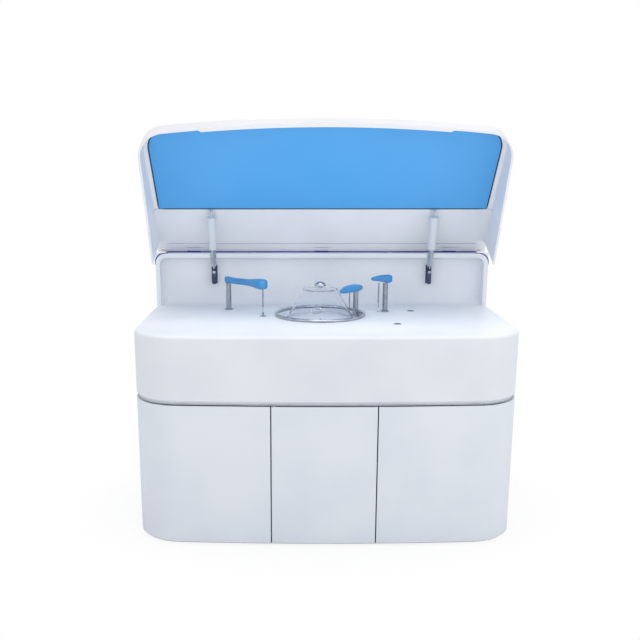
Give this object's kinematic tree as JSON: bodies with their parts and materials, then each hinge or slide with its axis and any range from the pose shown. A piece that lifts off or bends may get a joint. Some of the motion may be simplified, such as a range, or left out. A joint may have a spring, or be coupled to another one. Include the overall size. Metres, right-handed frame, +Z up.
{
  "type": "chemistry analyzer",
  "caption": "Floor-standing chemistry analyzer with a strut-held hood and blue window, a working deck with covered carousel and swinging probe arms, and a cabinet with wrap-around doors.",
  "frame": {"origin": "on the floor under the middle of the overall box", "axes": "+Z up, the operator stands at -Y, +X to the operator's right"},
  "size_m": [1.45, 0.8864, 1.5804],
  "materials": {
    "painted_white": "satin",
    "panel_white": "satin",
    "hood_white": "satin",
    "liner_grey": "fine satin",
    "window_blue": "clear tint, gloss",
    "clear_cover": "clear, gloss",
    "chrome": "polished",
    "steel": "brushed",
    "strut_grey": "satin",
    "dark_steel": "satin",
    "arm_blue": "satin",
    "rubber": "matte",
    "black_plastic": "matte",
    "grey_plastic": "matte",
    "natural_plastic": "satin",
    "zinc": "matte"
  },
  "bodies": {
    "root": {"chassis": "panel_white", "left_side_panel": "panel_white", "right_side_panel": "panel_white", "rear_panel": "panel_white", "fan_guard": "grey_plastic", "power_inlet": "black_plastic", "upper_shell": "painted_white", "rear_housing": "liner_grey", "rear_cover": "panel_white", "hinge_rod": "steel", "carousel_bowl": "painted_white", "carousel_ring": "chrome", "carousel_motor": "dark_steel", "probe_rest": "grey_plastic", "front_well": "grey_plastic", "rear_well": "grey_plastic", "power_supply": "zinc", "fluid_unit": "grey_plastic", "water_bottle": "natural_plastic", "waste_bottle": "natural_plastic", "front_left_foot": "rubber", "front_right_foot": "rubber", "rear_left_foot": "rubber", "rear_right_foot": "rubber", "left_strut_bracket": "dark_steel", "right_strut_bracket": "dark_steel", "sample_guide": "steel", "reagent_guide": "steel", "mixer_guide": "steel"},
    "hood": {"hood_frame": "hood_white", "hood_window": "window_blue", "hood_rear_section": "liner_grey", "left_hood_bracket": "dark_steel", "right_hood_bracket": "dark_steel"},
    "left_strut_rod": {"left_strut_rod": "chrome"},
    "left_strut_tube": {"left_strut_tube": "strut_grey"},
    "right_strut_rod": {"right_strut_rod": "chrome"},
    "right_strut_tube": {"right_strut_tube": "strut_grey"},
    "left_door": {"left_door": "panel_white"},
    "middle_door": {"middle_door": "panel_white"},
    "right_door": {"right_door": "panel_white"},
    "carousel": {"carousel_rotor": "natural_plastic", "carousel_shaft": "steel"},
    "cover": {"carousel_cover": "clear_cover", "cover_knob": "chrome", "cover_clip": "chrome", "cover_latch": "chrome"},
    "power_switch": {"power_switch": "black_plastic"},
    "sample_lift": {"sample_carriage": "dark_steel"},
    "sample_arm": {"sample_post": "steel", "sample_arm": "arm_blue", "sample_probe": "steel"},
    "reagent_lift": {"reagent_carriage": "dark_steel"},
    "reagent_arm": {"reagent_post": "steel", "reagent_arm": "arm_blue", "reagent_probe": "steel"},
    "mixer_lift": {"mixer_carriage": "dark_steel"},
    "mixer_arm": {"mixer_post": "steel", "mixer_arm": "arm_blue", "mixer_probe": "steel"}
  },
  "joints": [
    {"name": "hood_hinge", "type": "hinge", "parent": "root", "child": "hood", "pos_m": [0, 0.33185, 1.0245], "axis": [1, 0, 0], "range_deg": [0, 68]},
    {"name": "left_strut_pivot", "type": "hinge", "parent": "root", "child": "left_strut_rod", "pos_m": [-0.47, 0.29185, 0.9695], "axis": [1, 0, 0], "range_deg": [0, 68.5]},
    {"name": "left_strut_travel", "type": "slide", "parent": "left_strut_rod", "child": "left_strut_tube", "axis": [0, -0.3537, 0.9354], "range_m": [-0.0762, 0]},
    {"name": "right_strut_pivot", "type": "hinge", "parent": "root", "child": "right_strut_rod", "pos_m": [0.47, 0.29185, 0.9695], "axis": [1, 0, 0], "range_deg": [0, 68.5]},
    {"name": "right_strut_travel", "type": "slide", "parent": "right_strut_rod", "child": "right_strut_tube", "axis": [0, -0.3537, 0.9354], "range_m": [-0.0762, 0]},
    {"name": "left_door_hinge", "type": "hinge", "parent": "root", "child": "left_door", "pos_m": [-0.715, -0.26315, 0.0125], "axis": [0, 0, -1], "range_deg": [0, 100]},
    {"name": "middle_door_hinge", "type": "hinge", "parent": "root", "child": "middle_door", "pos_m": [-0.1945, -0.43107, 0.0125], "axis": [0, 0, -1], "range_deg": [0, 105]},
    {"name": "right_door_hinge", "type": "hinge", "parent": "root", "child": "right_door", "pos_m": [0.715, -0.26315, 0.0125], "axis": [0, 0, 1], "range_deg": [0, 100]},
    {"name": "carousel_turn", "type": "hinge", "parent": "root", "child": "carousel", "pos_m": [-0.015, 0.01385, 0.7965], "axis": [0, 0, 1], "continuous": true},
    {"name": "cover_lift", "type": "slide", "parent": "root", "child": "cover", "axis": [0.7071, 0, -0.7071], "range_m": [-0.09, 0]},
    {"name": "sample_lift", "type": "slide", "parent": "root", "child": "sample_lift", "axis": [0, 0, 1], "range_m": [-0.05, 0]},
    {"name": "sample_swing", "type": "hinge", "parent": "sample_lift", "child": "sample_arm", "pos_m": [-0.398, 0.15885, 0.9205], "axis": [0, 0, 1], "range_deg": [0, 60]},
    {"name": "reagent_lift", "type": "slide", "parent": "root", "child": "reagent_lift", "axis": [0, 0, 1], "range_m": [0, 0.025]},
    {"name": "reagent_swing", "type": "hinge", "parent": "reagent_lift", "child": "reagent_arm", "pos_m": [0.133, 0.05485, 0.8995], "axis": [0, 0, 1], "range_deg": [0, 110]},
    {"name": "mixer_lift", "type": "slide", "parent": "root", "child": "mixer_lift", "axis": [0, 0, 1], "range_m": [-0.04, 0]},
    {"name": "mixer_swing", "type": "hinge", "parent": "mixer_lift", "child": "mixer_arm", "pos_m": [0.26, 0.10785, 0.9275], "axis": [0, 0, 1], "range_deg": [0, 90]},
    {"name": "power_rocker", "type": "hinge", "parent": "root", "child": "power_switch", "pos_m": [0.56, 0.43565, 0.1305], "axis": [1, 0, 0], "range_deg": [0, 10]}
  ],
  "couplings": [
    {"joint": "left_strut_pivot", "follows": "hood_hinge", "ratio": 1.0047},
    {"joint": "left_strut_travel", "follows": "hood_hinge", "m_per_rad": -0.064078},
    {"joint": "right_strut_pivot", "follows": "hood_hinge", "ratio": 1.0047},
    {"joint": "right_strut_travel", "follows": "hood_hinge", "m_per_rad": -0.064078}
  ]
}
